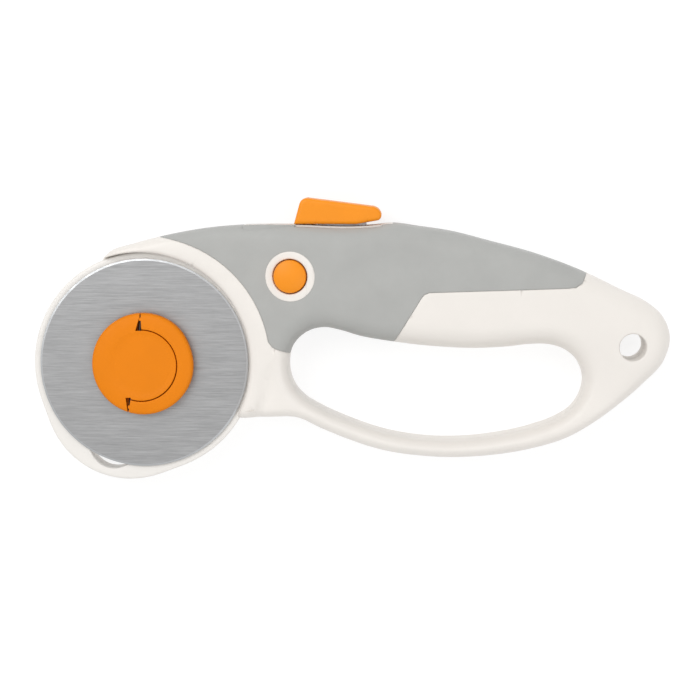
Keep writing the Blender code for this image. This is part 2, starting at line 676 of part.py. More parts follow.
def make_lock_button():
    profile = [(0.0, 22.4), (1.6, 22.3), (3.2, 21.9), (4.4, 21.1), (BUTTON_R, 20.3), (BUTTON_R, 17.3),
               (6.2, 17.3), (6.2, 15.9), (2.4, 15.9), (2.4, 8.8), (1.7, 8.8), (1.7, 7.2), (0.0, 7.2)]
    return finish(turned("lock_button", BUTTON_AT, profile, 28), ORANGE, 0.3)


def make_lock_collar():
    profile = [(4.2, 11.6), (4.2, 9.0), (2.5, 9.0), (2.5, 11.6)]
    return finish(turned("lock_collar", BUTTON_AT, profile, 32, bore=True), STEEL, 0.35, 1.0)


def make_lock_spring(turns=3.5, low=4.8, high=8.4, radius=3.0, wire=0.3):
    curve = bpy.data.curves.new("lock_spring", "CURVE")
    curve.dimensions = "3D"
    curve.bevel_depth = wire * MM
    curve.bevel_resolution = 1
    curve.use_fill_caps = True
    steps = round(turns * 14)
    spline = curve.splines.new("POLY")
    spline.points.add(steps)
    for k, point in enumerate(spline.points):
        angle = math.tau * turns * k / steps
        point.co = (radius * math.cos(angle) * MM, radius * math.sin(angle) * MM,
                    (low + (high - low) * k / steps) * MM, 1.0)
    spring = add("lock_spring", curve)
    spring.location = world(*BUTTON_AT)
    return finish(spring, STEEL, 0.3, 1.0)


# ---------------------------------------------------------------- assembly

def on_axis(name, centre, pieces, parent=None):
    """Hang pieces from an empty that stands on their joint's axis."""
    empty = bpy.data.objects.new(name, None)
    collection("rotary_cutter").objects.link(empty)
    empty.location = world(*centre)
    if parent:
        empty.parent = parent
        empty.matrix_parent_inverse = Matrix.Translation(-world(*parent["centre"]))
    empty["centre"] = centre
    for piece in pieces:
        piece.parent = empty
        piece.matrix_parent_inverse = Matrix.Translation(-world(*centre))
    return empty


def main():
    clear_scene()
    make_front_shell()
    make_rear_shell()
    make_grip("front_grip", MID_Z + GAP / 2, 30.0)
    make_grip("rear_grip", -5.0, MID_Z - GAP / 2)
    make_guard_plate()
    make_screws()
    carriage = on_axis("carriage_axis", (0, 0, 0), [make_carriage(), make_axle_bolt()])
    on_axis("blade_axis", (0, 0, BLADE_Z[0]), [make_blade()], carriage)
    pins = [make_bail_pin("bail_pin_upper", 1), make_bail_pin("bail_pin_lower", -1)]
    knob = on_axis("knob_axis", (0, 0, KNOB_Z[0]),
                   [make_spring_washer(), make_knob(), make_knob_insert()] + pins, carriage)
    on_axis("bail_axis", hinge_point(0, (BAIL_Z[0] + BAIL_Z[1]) / 2), [make_bail()], knob)
    on_axis("slide_axis", (*PIN_AT, PLATE_Z[0]), [make_thumb_slide(), make_drive_plate(), make_drive_pin()])
    on_axis("button_axis", (*BUTTON_AT, 0), [make_lock_button(), make_lock_collar()])
    make_lock_spring()


if __name__ == "__main__":
    main()
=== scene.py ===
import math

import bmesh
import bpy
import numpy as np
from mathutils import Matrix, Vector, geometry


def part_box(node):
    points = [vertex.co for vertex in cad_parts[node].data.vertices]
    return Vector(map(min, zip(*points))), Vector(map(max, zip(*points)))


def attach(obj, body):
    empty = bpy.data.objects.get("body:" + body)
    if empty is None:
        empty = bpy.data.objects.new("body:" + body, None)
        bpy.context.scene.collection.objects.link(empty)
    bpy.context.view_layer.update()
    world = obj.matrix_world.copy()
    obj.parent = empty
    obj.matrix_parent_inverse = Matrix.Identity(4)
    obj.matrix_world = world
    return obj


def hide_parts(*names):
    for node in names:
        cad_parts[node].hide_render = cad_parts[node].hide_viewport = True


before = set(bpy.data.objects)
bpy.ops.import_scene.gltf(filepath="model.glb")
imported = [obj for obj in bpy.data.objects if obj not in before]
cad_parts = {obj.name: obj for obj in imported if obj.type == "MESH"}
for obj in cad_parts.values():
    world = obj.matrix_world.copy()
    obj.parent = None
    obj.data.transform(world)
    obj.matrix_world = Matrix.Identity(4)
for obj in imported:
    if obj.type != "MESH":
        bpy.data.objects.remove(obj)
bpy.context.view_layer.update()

# The looks of the rotary cutter: fine meshes, materials, floor, light and camera.
#
# Places in the plan are millimetres from the blade's axis: x towards the tail, y towards the thumb
# slide. Heights are millimetres above the plane that the cutter's back rests on.
# Most pieces are "terrains": a part of the plan between a top and a bottom surface, each of which is
# a height worked out at every point, so that roundings, crowns and grooves are one smooth skin.

MM = 0.001
CORNER = "corner"


def middle(node):
    """Centre of a CAD node, in metres."""
    low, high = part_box(node)
    return (low + high) / 2


HUB = middle("blade").xy / MM
BUTTON_AT = tuple(middle("lock_button").xy / MM - HUB)

GAP = 0.3                      # clearance between pieces that move
MID_Z = 11.2                   # parting plane of the shells
GRIP_HALF = 11.2               # half the thickness at the grip
THIN_HALF = 7.0                # the same at the head, the loop and the tail
GRIP_SKIN = 1.8                # thickness of the overmould
SHARP = 38.0                   # edges stay crisp above this angle, in degrees

# Roundings: width, or width and depth
EDGE_WIDTH = 5.4               # widest rounding of the handle's edges
SEAM_ROUND = 0.35
HOLE_ROUND = 0.5
LIP_ROUND = (1.3, 1.1)
PAN_ROUND = (2.2, 2.4)
GUARD_ROUND = (0.9, 0.5)
KNOB_ROUND = (1.2, 1.1)
DISC_ROUND = (0.25, 0.2)
SLIDE_ROUND = (1.0, 0.9)

HEAD_R = 31.9
BULGE = (-4.5, -9.55, 24.45)   # lower swelling of the head: centre and radius
LIP = ((-1.1, 0.1), 31.7)      # edge of the front shell beside the blade
PAN_Z = (3.9, 12.1)
PAN_FLOOR_Z = 6.2
GUARD_Z = (12.4, 14.6)
SLOT_TOP = (1.8, 4.7)
SLOT_END = (-9.1, -23.9)
SLOT_R = 6.9
COLLAR_START = (-7.9, -20.8)   # wall round the slot, clear of the advanced arm
BLADE_R = 30.0
BLADE_PATH_END = (-6.2, -16.26)
BUTTON_R = 4.75
RING_R = 7.13                  # white ring round the lock button
HOLE = ((140.2, 4.9), 3.9)     # hanging hole
GRIP_ARC_R = 36.5
TRACK_X = (28.8, 71.5)
TRACK_Y = 36.3
TRACK_Z = (5.7, 16.7)          # the thumb slide's track, from its floor to its roof
TAB_Z = (8.7, 11.9)            # room for the tab between the slide and the drive plate
HOLLOW_Z = (4.4, 17.6)         # hollow of the grip
MECHANISM_TOP = 12.3
BLADE_BEVEL = 0.55
KNOB_R = 14.6
DISC_R = 10.18
DISC_AT = (-0.45, -0.42)       # middle of the centre disc
KNOB_Z = (16.8, 20.4)
BAIL_Z = (18.0, 20.4)
HINGE_TILT = math.radians(7.6)
HINGE_X = -2.1
HOUSING_SCREWS = [(38.0, -9.5), (18.5, 34.2), (76.0, 26.0), (118.0, 17.0), (132.5, -5.0)]
GUARD_SCREWS = [(-24.0, 12.0), (-9.0, 25.0), (15.0, -23.0)]
# Head radius, low and high face of the head, shank radius, height of the tip
HOUSING_SCREW_SIZE = (2.7, 5.2, 7.0, 1.25, 15.2)
GUARD_SCREW_SIZE = (2.3, 4.5, 6.0, 1.1, 12.8)

TOP_EDGE = [
    (-11.0, 30.8), (-8.8, 32.6), (-5.4, 33.6), (5.8, 36.5), (19.9, 38.9), (28.8, 39.6), (45.0, 39.7),
    (60.0, 39.3), (66.0, 39.6), (71.0, 40.1), (79.5, 39.1), (88.1, 37.8), (99.2, 35.0), (113.1, 31.2),
    (127.7, 25.7), (137.6, 20.9)]
TAIL_EDGE = [
    (144.7, 17.5), (149.0, 13.7), (151.3, 7.3), (149.7, 1.0), (143.2, -6.2), (136.3, -12.1),
    (129.4, -17.2), (122.1, -21.4), (111.6, -24.7)]
LOOP_EDGE = [
    (97.3, -26.9), (88.4, -27.3), (80.0, -26.9), (69.4, -25.4), (59.0, -22.2), (50.7, -18.8),
    (44.3, -15.9), (36.0, -15.7), (27.8, -16.0, CORNER)]
HEAD_CHORD = [(15.0, -8.0, CORNER), (-5.0, 12.0, CORNER), (-16.5, 22.5, CORNER)]
OPENING_EDGE = [
    (41.6, -0.6), (42.3, 3.7), (44.7, 7.4), (48.1, 9.7), (52.1, 10.5), (56.5, 9.7), (62.2, 8.0),
    (70.0, 6.6), (83.5, 5.0), (94.0, 4.5), (104.0, 4.9), (111.4, 5.7), (116.3, 5.6), (121.2, 3.9),
    (125.0, 0.3), (126.8, -4.7), (126.0, -9.3), (123.5, -13.3), (119.0, -16.4), (111.8, -19.1),
    (100.8, -21.5), (90.4, -22.5), (80.0, -22.2), (69.4, -20.4), (58.7, -16.8), (50.3, -13.0),
    (45.7, -10.1), (42.8, -6.3)]
LOWER_SEAM = [(72.1, 6.7), (79.7, 19.1), (80.5, 20.1), (82.0, 20.7), (121.6, 21.9), (123.8, 22.2),
              (125.5, 23.3), (126.9, 26.0)]


# ---------------------------------------------------------------- lines in the plan

def smooth_loop(points, spacing=1.1):
    """Closed smooth line through the points, straight at corners, in short even steps."""
    count = len(points)
    places = [Vector(p[:2]) for p in points]
    sharp = [len(p) > 2 for p in points]

    def direction(i):
        back, ahead = places[i] - places[i - 1], places[(i + 1) % count] - places[i]
        return (back.normalized() * ahead.length + ahead.normalized() * back.length).normalized()

    line = []
    for i in range(count):
        j = (i + 1) % count
        chord = places[j] - places[i]
        leave = chord if sharp[i] else direction(i) * chord.length
        arrive = chord if sharp[j] else direction(j) * chord.length
        steps = max(1, round(chord.length / spacing))
        for k in range(steps):
            t = k / steps
            line.append(places[i] * (2 * t**3 - 3 * t**2 + 1) + leave * (t**3 - 2 * t**2 + t)
                        + places[j] * (3 * t**2 - 2 * t**3) + arrive * (t**3 - t**2))
    return np.array([tuple(p) for p in line])


def dense(points, spacing=1.0):
    """Closed line of straight runs, in short even steps."""
    return smooth_loop([(*p[:2], CORNER) for p in points], spacing)


def arc(centre, radius, start, end, spacing=0.8):
    """Points on a circle from one angle to another, in degrees."""
    steps = max(4, math.ceil(abs(math.radians(end - start)) * radius / spacing))
    turn = np.radians(np.linspace(start, end, steps + 1))
    return np.column_stack([centre[0] + radius * np.cos(turn), centre[1] + radius * np.sin(turn)])


def circle(centre, radius, spacing=0.8):
    return arc(centre, radius, 0, 360, min(spacing, radius / 5))[:-1]


def capsule(start, end, radius, spacing=0.9):
    """Outline of a slot with round ends."""
    turn = math.degrees(math.atan2(end[1] - start[1], end[0] - start[0]))
    ends = [arc(end, radius, turn - 90, turn + 90), arc(start, radius, turn + 90, turn + 270)]
    return dense(np.vstack(ends).tolist(), spacing)


def hexagon(radius, spacing):
    return dense([(radius * math.cos(math.radians(a)), radius * math.sin(math.radians(a)))
                  for a in range(0, 360, 60)], spacing)


def shifted(line, offset):
    """A closed line moved to its right-hand side."""
    along = np.roll(line, -1, 0) - np.roll(line, 1, 0)
    along /= np.linalg.norm(along, axis=1)[:, None]
    return line + offset * np.column_stack([along[:, 1], -along[:, 0]])


def distance(points, line):
    """Distance in the plan from each point to a closed line."""
    run = np.roll(line, -1, 0) - line
    length = np.maximum((run**2).sum(1), 1e-12)
    found = np.empty(len(points))
    for first in range(0, len(points), 2000):
        off = points[first:first + 2000, None] - line
        share = np.clip((off * run).sum(-1) / length, 0, 1)
        off = off - share[..., None] * run
        found[first:first + 2000] = np.sqrt((off**2).sum(-1).min(1))
    return found


def inside(points, line):
    """Which points a closed line surrounds."""
    after = np.roll(line, -1, 0)
    rise = np.where(after[:, 1] == line[:, 1], 1e-12, after[:, 1] - line[:, 1])
    found = np.empty(len(points), bool)
    for first in range(0, len(points), 2000):
        x, y = points[first:first + 2000, :1], points[first:first + 2000, 1:]
        crosses = (line[:, 1] > y) != (after[:, 1] > y)
        at = line[:, 0] + (after[:, 0] - line[:, 0]) * (y - line[:, 1]) / rise
        found[first:first + 2000] = (crosses & (x < at)).sum(1) % 2 == 1
    return found


def blend(value, start, end):
    """Smooth change from 0 at start to 1 at end."""
    t = np.clip((value - start) / (end - start), 0, 1)
    return t * t * (3 - 2 * t)


def bump(value, place, width):
    """Smooth hill, 1 at its place."""
    return np.exp(-((value - place) / width) ** 2)


def rounding(gap, width, depth):
    """How far a surface has dropped at this distance from its rim: a quarter of an ellipse."""
    t = 1 - np.clip(gap / width, 0, 1)
    return depth * (1 - np.sqrt(np.maximum(1 - t * t, 0)))


def level(height):
    return lambda points: np.full(len(points), float(height))


# ---------------------------------------------------------------- mesh makers

RING_SHARES = (0.035, 0.13, 0.29, 0.5, 0.74, 1.0)


def plan_points(rims, solid, spacing):
    """Points of a terrain: rows beside each rim where it is rounded, and a triangular grid between."""
    rows = []
    for line, width in rims:
        for share in RING_SHARES if width else ():
            for side in (1, -1):
                row = shifted(line, side * share * width)
                rows.append(row[distance(row, line) > 0.93 * share * width])
    low = np.min([line.min(0) for line, _ in rims], 0)
    high = np.max([line.max(0) for line, _ in rims], 0)
    x, y = np.meshgrid(np.arange(low[0], high[0], spacing), np.arange(low[1], high[1], spacing * 0.87))
    x = x + (np.arange(len(x)) % 2)[:, None] * spacing / 2
    grid = np.column_stack([x.ravel(), y.ravel()])
    grid = grid[solid(grid)]
    for line, width in rims:
        grid = grid[distance(grid, line) > max(0.55 * spacing, 1.1 * width)]
    rows = np.vstack(rows) if rows else np.empty((0, 2))
    rows = rows[solid(rows)] if len(rows) else rows
    for line, width in rims:
        if len(rows):
            rows = rows[distance(rows, line) > 0.012]
    both = np.vstack([rows, grid])
    _, first = np.unique(np.round(both / 0.02), axis=0, return_index=True)
    return both[np.sort(first)]


def pick(levels, centres):
    """Which of the surfaces each triangle lies on: the last one whose zone holds it."""
    chosen = np.zeros(len(centres), int)
    for i, (zone, _) in enumerate(levels):
        if zone is not None:
            chosen[zone(centres) if callable(zone) else inside(centres, zone)] = i
    return chosen


def lift(levels, chosen, triangles, places):
    """Numbers and heights of one skin's corners; a place on two surfaces has a corner on each."""
    keys, corners = np.unique(triangles * 32 + chosen[:, None], return_inverse=True)
    corners = corners.reshape(triangles.shape)
    spot, on = keys // 32, keys % 32
    height = np.empty(len(keys))
    for i, (_, surface) in enumerate(levels):
        mine = on == i
        if mine.any():
            height[mine] = surface(places[spot[mine]])
    return corners, np.column_stack([places[spot], height])


def terrain(name, rims, solid, top, bottom, spacing=1.9):
    """A solid over part of the plan, between two skins joined by upright walls.

    rims: closed lines that become edges, each with the width of its rounding.
    solid: says which points of the plan hold material.
    top, bottom: (zone, surface) pairs; the last zone that holds a place sets its height."""
    points, edges = [], []
    for line, _ in rims:
        first = len(points)
        points += [Vector(p) for p in line]
        edges += [(first + i, first + (i + 1) % len(line)) for i in range(len(line))]
    points += [Vector(p) for p in plan_points(rims, solid, spacing)]
    found, _, faces, *_ = geometry.delaunay_2d_cdt(points, edges, [], 0, 0.0001, False)
    places = np.array([tuple(p) for p in found])
    triangles = np.array([f for f in faces if len(f) == 3])
    centres = places[triangles].mean(1)
    keep = solid(centres)
    triangles, centres = triangles[keep], centres[keep]
    top_on, bottom_on = pick(top, centres), pick(bottom, centres)
    upper, high = lift(top, top_on, triangles, places)
    lower, low = lift(bottom, bottom_on, triangles, places)
    lower = lower + len(high)
    skin = upper.tolist() + lower[:, ::-1].tolist()
    sides = {}
    for t, corners in enumerate(triangles.tolist()):
        for i in range(3):
            sides.setdefault(frozenset((corners[i], corners[i - 2])), []).append((t, i, (i + 1) % 3))
    for uses in sides.values():
        t, i, j = uses[0]
        if len(uses) == 1:
            skin.append([upper[t, j], upper[t, i], lower[t, i], lower[t, j]])
            continue
        s, m, n = uses[1]
        if top_on[t] != top_on[s]:
            skin.append([upper[t, j], upper[t, i], upper[s, n], upper[s, m]])
        if bottom_on[t] != bottom_on[s]:
            skin.append([lower[t, i], lower[t, j], lower[s, m], lower[s, n]])
    return from_faces(name, np.vstack([high, low]), skin)


def placed(name, data):
    """A new object in the scene."""
    obj = bpy.data.objects.new(name, data)
    bpy.context.scene.collection.objects.link(obj)
    return obj


def from_faces(name, corners, faces, sharp=SHARP):
    """A mesh object from corners in millimetres, welded, with smooth round faces."""
    corners = (np.asarray(corners, float) + (HUB[0], HUB[1], 0)) * MM
    mesh = bpy.data.meshes.new(name)
    mesh.from_pydata(corners.tolist(), [], [[int(v) for v in f] for f in faces])
    shape = bmesh.new()
    shape.from_mesh(mesh)
    bmesh.ops.remove_doubles(shape, verts=shape.verts, dist=0.000001)
    bmesh.ops.dissolve_degenerate(shape, dist=0.0000005, edges=shape.edges)
    bmesh.ops.recalc_face_normals(shape, faces=shape.faces)
    shape.to_mesh(mesh)
    shape.free()
    mesh.shade_smooth()
    mesh.set_sharp_from_angle(angle=math.radians(sharp))
    return placed(name, mesh)


def lathe(name, centre, profile, sides=96, sharp=SHARP):
    """A turned piece: a closed profile of (radius, height), turned about an upright axis."""
    turn = np.linspace(0, math.tau, sides, endpoint=False)
    corners = [(centre[0] + r * math.cos(a), centre[1] + r * math.sin(a), z)
               for r, z in profile for a in turn]
    faces = []
    for k in range(len(profile)):
        after = (k + 1) % len(profile)
        if profile[k][0] < 1e-6 and profile[after][0] < 1e-6:
            continue
        for i in range(sides):
            j = (i + 1) % sides
            faces.append([k * sides + i, k * sides + j, after * sides + j, after * sides + i])
    return from_faces(name, corners, faces, sharp)


# ---------------------------------------------------------------- handle surfaces

BODY = smooth_loop(TOP_EDGE + TAIL_EDGE + LOOP_EDGE + HEAD_CHORD)
OPENING = smooth_loop(OPENING_EDGE)
WEB_SEAM = [(37.2, 4.7), (39.0, 3.9), (46.0, 1.6), (70.5, 2.5)]
OUTSIDE = [(130.2, 31.0), (100.0, 46.0), (20.0, 50.0), (3.0, 41.0)]
GRIP_ZONE = dense([*arc((0, 0), GRIP_ARC_R, 84.5, 10.0), *WEB_SEAM, *LOWER_SEAM, *OUTSIDE])
LIP_LINE = circle(*LIP)
HOLE_LINE = circle(*HOLE)
RING_LINE = circle(BUTTON_AT, RING_R)
BUTTON_LINE = circle(BUTTON_AT, BUTTON_R + 0.25)


def rectangle(low, high):
    return dense([low, (high[0], low[1]), high, (low[0], high[1])])


TRACK = rectangle((TRACK_X[0], TRACK_Y), (TRACK_X[1], 44.0))
# Under the slide the grip's edge stands back, and a thin white line of the shell shows
TRACK_MOUTH = rectangle((43.6, 37.0), (68.4, 44.0))
TRACK_LEDGE = 0.5
TAB_SLOT = rectangle((34.9, 34.5), (64.6, 44.0))


def on_body(points):
    return inside(points, BODY) & ~inside(points, OPENING)


def on_grip(points):
    return on_body(points) & inside(points, GRIP_ZONE)


def edge_gap(points):
    """Distance from the handle's own edges, the finger opening's rim among them."""
    return np.minimum(distance(points, BODY), distance(points, OPENING))


def soften(points):
    """Width and depth of the handle's rounded edges: small on the thin loop, broad on the grip."""
    broad = blend(points[:, 1], -16, 8) * blend(points[:, 0], 24, 46)
    return 2.9 + 2.6 * broad, 3.3 + 1.7 * broad


def front_surface(points):
    x, y = points.T
    along = blend(x, 28, 52) * (1 - 0.85 * blend(x, 105, 150))
    half = THIN_HALF + (GRIP_HALF - THIN_HALF) * along * blend(y, -12, 12)
    gap = edge_gap(points)
    width, depth = soften(points)
    crown = (0.15 + 0.55 * blend(y, -14, 8)) * np.exp(-gap / 4.5)
    radius = np.hypot(x, y)
    lower = blend(-y, -4, 6) * blend(x, 20, 28)
    band = 0.45 * bump(radius, 33.6, 1.1) * blend(x, 5, 20) - 0.75 * lower * bump(radius, 36.6, 1.5)
    return MID_Z + half - rounding(gap, width, depth) - crown * blend(radius, 33, 40) + band


def back_surface(points):
    x, _ = points.T
    along = blend(x, 26, 40) * (1 - 0.8 * blend(x, 112, 150))
    half = THIN_HALF + (GRIP_HALF - THIN_HALF) * along
    gap = edge_gap(points)
    width, depth = soften(points)
    return MID_Z - half + rounding(gap, width, depth)


def seam_drop(points, line=GRIP_ZONE, width=SEAM_ROUND):
    return rounding(distance(points, line), width, width)


def head_line(margin=0.0):
    """Round head with its lower swelling."""
    swell_x, swell_y, swell_r = BULGE
    turn = np.linspace(0, math.tau, 300, endpoint=False)
    lean = swell_x * np.cos(turn) + swell_y * np.sin(turn)
    swell = lean + np.sqrt(swell_r**2 - swell_x**2 - swell_y**2 + lean**2)
    soft = 0.5 * (HEAD_R + swell + np.sqrt((HEAD_R - swell) ** 2 + 0.6)) - 0.13 - margin
    return np.column_stack([soft * np.cos(turn), soft * np.sin(turn)])


HEAD = head_line()
SLOT = capsule(SLOT_TOP, SLOT_END, SLOT_R)
GUARD_POCKET = circle((0, 0), HEAD_R + 0.4)
REAR_SLOT = capsule(SLOT_TOP, SLOT_END, SLOT_R + 0.4)
BLADE_PATH = capsule((0, 0), BLADE_PATH_END, BLADE_R + 0.7)
MECHANISM = dense([
    (6.0, 16.0), (15.5, 30.0), (24.0, 30.6), (27.0, 33.2), (33.0, 35.3), (49.0, 35.6), (49.0, 15.6),
    (41.5, 13.2), (39.0, 9.0), (37.5, 2.0), (34.0, -4.0), (32.5, -13.3), (23.0, -14.8), (10.0, -5.0)], 4.0)
GRIP_HOLLOW = dense([
    (47.0, 15.2), (54.0, 15.8), (62.0, 13.8), (71.0, 12.2), (82.0, 15.4), (108.0, 15.0),
    (108.0, 27.0), (98.0, 30.5), (85.0, 33.6), (72.0, 35.4), (47.0, 35.5)], 4.0)


def core_lines(inset):
    """Outlines of what lies under the overmould."""
    turn = -1 if polygon_area(BODY) > 0 else 1
    hole = 1 if polygon_area(OPENING) > 0 else -1
    return shifted(BODY, turn * inset), shifted(OPENING, hole * inset)


def polygon_area(line):
    after = np.roll(line, -1, 0)
    return 0.5 * float((line[:, 0] * after[:, 1] - after[:, 0] * line[:, 1]).sum())


# ---------------------------------------------------------------- handle pieces

def make_front_shell():
    outer, inner = core_lines(GRIP_SKIN + GAP)

    def solid(points):
        kept = on_body(points) & ~inside(points, LIP_LINE) & ~inside(points, HOLE_LINE)
        kept &= ~inside(points, BUTTON_LINE)
        under = inside(points, GRIP_ZONE) & ~inside(points, TRACK)
        return kept & ~(under & ~(inside(points, outer) & ~inside(points, inner)))

    def face(points):
        drop = seam_drop(points) + rounding(distance(points, HOLE_LINE), HOLE_ROUND, HOLE_ROUND)
        return front_surface(points) - drop - rounding(distance(points, LIP_LINE), *LIP_ROUND)

    def ring(points):
        drop = rounding(distance(points, RING_LINE), 0.3, 0.15)
        return front_surface(points) + 0.1 - drop - rounding(distance(points, BUTTON_LINE), 0.5, 0.5)

    flange = circle(BUTTON_AT, 6.6)
    rims = [(BODY, EDGE_WIDTH), (OPENING, EDGE_WIDTH), (GRIP_ZONE, SEAM_ROUND),
            (LIP_LINE, LIP_ROUND[0]), (HOLE_LINE, HOLE_ROUND), (RING_LINE, 0.3), (BUTTON_LINE, 0.5),
            (TRACK, 0), (TAB_SLOT, 0), (outer, 0), (inner, 0), (MECHANISM, 0), (GRIP_HOLLOW, 0),
            (GUARD_POCKET, 0), (BLADE_PATH, 0), (flange, 0)]
    top = [(None, face), (GRIP_ZONE, lambda p: front_surface(p) - GRIP_SKIN - GAP),
           (TRACK, level(TRACK_Z[1])), (RING_LINE, ring),
           (BLADE_PATH, lambda p: np.minimum(front_surface(p), 14.95))]
    bottom = [(None, level(MID_Z + GAP / 2)), (MECHANISM, level(MECHANISM_TOP)),
              (GRIP_HOLLOW, level(HOLLOW_Z[1])), (TAB_SLOT, level(TAB_Z[1])),
              (flange, level(HOLLOW_Z[1])), (GUARD_POCKET, level(GUARD_Z[1] + 0.02))]
    return terrain("white_front_shell", rims, solid, top, bottom)


def make_front_grip():
    outer, inner = core_lines(GRIP_SKIN)
    ledge_line, _ = core_lines(TRACK_LEDGE)
    hole = circle(BUTTON_AT, RING_R + 0.01)

    def solid(points):
        ledge = inside(points, TRACK_MOUTH) & (distance(points, BODY) < TRACK_LEDGE)
        return on_grip(points) & ~inside(points, hole) & ~ledge

    def face(points):
        return front_surface(points) - seam_drop(points) - seam_drop(points, hole, 0.1)

    def core(points):
        return inside(points, outer) & ~inside(points, inner)

    rims = [(BODY, EDGE_WIDTH), (OPENING, EDGE_WIDTH), (GRIP_ZONE, SEAM_ROUND), (TRACK_MOUTH, 0),
            (ledge_line, 0), (hole, 0.1), (TRACK, 0), (outer, 0), (inner, 0)]
    bottom = [(None, level(MID_Z + GAP / 2)), (core, lambda p: front_surface(p) - GRIP_SKIN),
              (TRACK, level(TRACK_Z[1] + GAP))]
    return terrain("grey_front_grip", rims, solid, [(None, face)], bottom)


def make_rear_shell():
    outer, inner = core_lines(GRIP_SKIN + GAP)
    hollow = head_line(2.7)
    collar = capsule(COLLAR_START, SLOT_END, SLOT_R + 1.6)
    recesses = [circle(p, 3.0, 0.6) for p in HOUSING_SCREWS]
    small = [circle(p, 2.6, 0.6) for p in GUARD_SCREWS]
    posts = [circle(p, 3.3, 0.7) for p in GUARD_SCREWS]

    def solid(points):
        whole = (on_body(points) | inside(points, HEAD)) & ~inside(points, REAR_SLOT)
        whole &= ~inside(points, HOLE_LINE)
        under = inside(points, GRIP_ZONE) & ~inside(points, TRACK) & ~inside(points, HEAD)
        return whole & ~(under & ~(inside(points, outer) & ~inside(points, inner)))

    def drops(points):
        drop = seam_drop(points) + rounding(distance(points, HOLE_LINE), HOLE_ROUND, HOLE_ROUND)
        for line in recesses:
            drop = drop + rounding(distance(points, line), 0.4, 0.4)
        return drop

    def face(points):
        return back_surface(points) + drops(points)

    def pan(points):
        floor = PAN_Z[0] + rounding(distance(points, HEAD), *PAN_ROUND) + seam_drop(points, REAR_SLOT, 0.6)
        for line in small:
            floor = floor + rounding(distance(points, line), 0.4, 0.4)
        body = np.where(on_body(points), face(points), 99.0)
        return np.minimum(floor, body)

    rims = [(BODY, EDGE_WIDTH), (OPENING, EDGE_WIDTH), (HEAD, PAN_ROUND[0]), (REAR_SLOT, 0.6),
            (GRIP_ZONE, SEAM_ROUND), (HOLE_LINE, HOLE_ROUND), (TRACK, 0), (TAB_SLOT, 0), (outer, 0),
            (inner, 0), (hollow, 0), (collar, 0), (MECHANISM, 0), (GRIP_HOLLOW, 0)]
    rims += [(line, 0.4) for line in recesses + small] + [(line, 0) for line in posts]
    top = [(None, level(MID_Z - GAP / 2)), (HEAD, level(PAN_Z[1])), (hollow, level(PAN_FLOOR_Z)),
           (MECHANISM, level(PAN_FLOOR_Z + 0.05)), (GRIP_HOLLOW, level(HOLLOW_Z[0])),
           (collar, level(PAN_Z[1] - 0.1)), (TAB_SLOT, level(TAB_Z[0]))]
    top += [(line, level(9.2)) for line in posts]
    top.append((circle(HOUSING_SCREWS[2], 4.4), level(11.0)))
    top.append((circle(BUTTON_AT, 3.7), level(4.2)))
    rims += [(top[-2][0], 0), (top[-1][0], 0)]
    bottom = [(None, face), (GRIP_ZONE, lambda p: back_surface(p) + GRIP_SKIN + GAP),
              (TRACK, level(TRACK_Z[0])), (HEAD, pan)]
    bottom += [(line, level(7.2)) for line in recesses] + [(line, level(6.2)) for line in small]
    return terrain("white_rear_shell", rims, solid, top, bottom)


def make_rear_grip():
    outer, inner = core_lines(GRIP_SKIN)
    holes = [circle(HOUSING_SCREWS[i], 3.3, 0.6) for i in (1, 2)]

    def solid(points):
        kept = on_grip(points)
        for line in holes:
            kept &= ~inside(points, line)
        return kept

    def face(points):
        rise = seam_drop(points)
        for line in holes:
            rise = rise + rounding(distance(points, line), 0.5, 0.5)
        return back_surface(points) + rise

    def core(points):
        return inside(points, outer) & ~inside(points, inner)

    rims = [(BODY, EDGE_WIDTH), (OPENING, EDGE_WIDTH), (GRIP_ZONE, SEAM_ROUND),
            (TRACK, 0), (outer, 0), (inner, 0)]
    rims += [(line, 0.5) for line in holes]
    top = [(None, level(MID_Z - GAP / 2)), (core, lambda p: back_surface(p) + GRIP_SKIN),
           (TRACK, level(TRACK_Z[0] - GAP))]
    return terrain("grey_rear_grip", rims, solid, top, [(None, face)])


def make_guard():
    posts = [circle(p, 3.1, 0.7) for p in GUARD_SCREWS]

    def face(points):
        drop = rounding(distance(points, HEAD), *GUARD_ROUND) + rounding(distance(points, SLOT), 0.5, 0.5)
        return GUARD_Z[1] - drop

    rims = [(HEAD, GUARD_ROUND[0]), (SLOT, 0.5)] + [(line, 0) for line in posts]
    bottom = [(None, level(GUARD_Z[0]))] + [(line, level(9.6)) for line in posts]
    return terrain("white_guard_plate", rims, lambda p: inside(p, HEAD) & ~inside(p, SLOT),
                   [(None, face)], bottom, 2.4)


# ---------------------------------------------------------------- blade, knob and bail

def make_blade():
    low, high = (corner.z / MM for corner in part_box("blade"))
    half = (low + high) / 2
    ground = BLADE_R - BLADE_BEVEL
    profile = [(4.05, low), (ground, low), (BLADE_R - 0.02, half - 0.02), (BLADE_R - 0.02, half + 0.02),
               (ground, high), (4.05, high)]
    return lathe("round_blade", (0, 0), profile, 288, 12.0)


HINGE_LINE = np.array([math.sin(HINGE_TILT), math.cos(HINGE_TILT)])
HINGE_SIDE = np.array([HINGE_LINE[1], -HINGE_LINE[0]])


def past_hinge(points):
    """Distance from the bail's hinge line, towards the bail."""
    return points @ HINGE_SIDE - HINGE_X * HINGE_SIDE[0]


def hinge_place(along, across):
    return tuple(HINGE_SIDE * (HINGE_X * HINGE_SIDE[0] + across) + HINGE_LINE * along)


GROOVE = 0.22                  # half the gap between the bail and the centre disc
EAR = ((12.3, -0.5), (13.2, -0.5), (13.2, 1.6), (12.3, 1.6))
EAR_R = 0.9
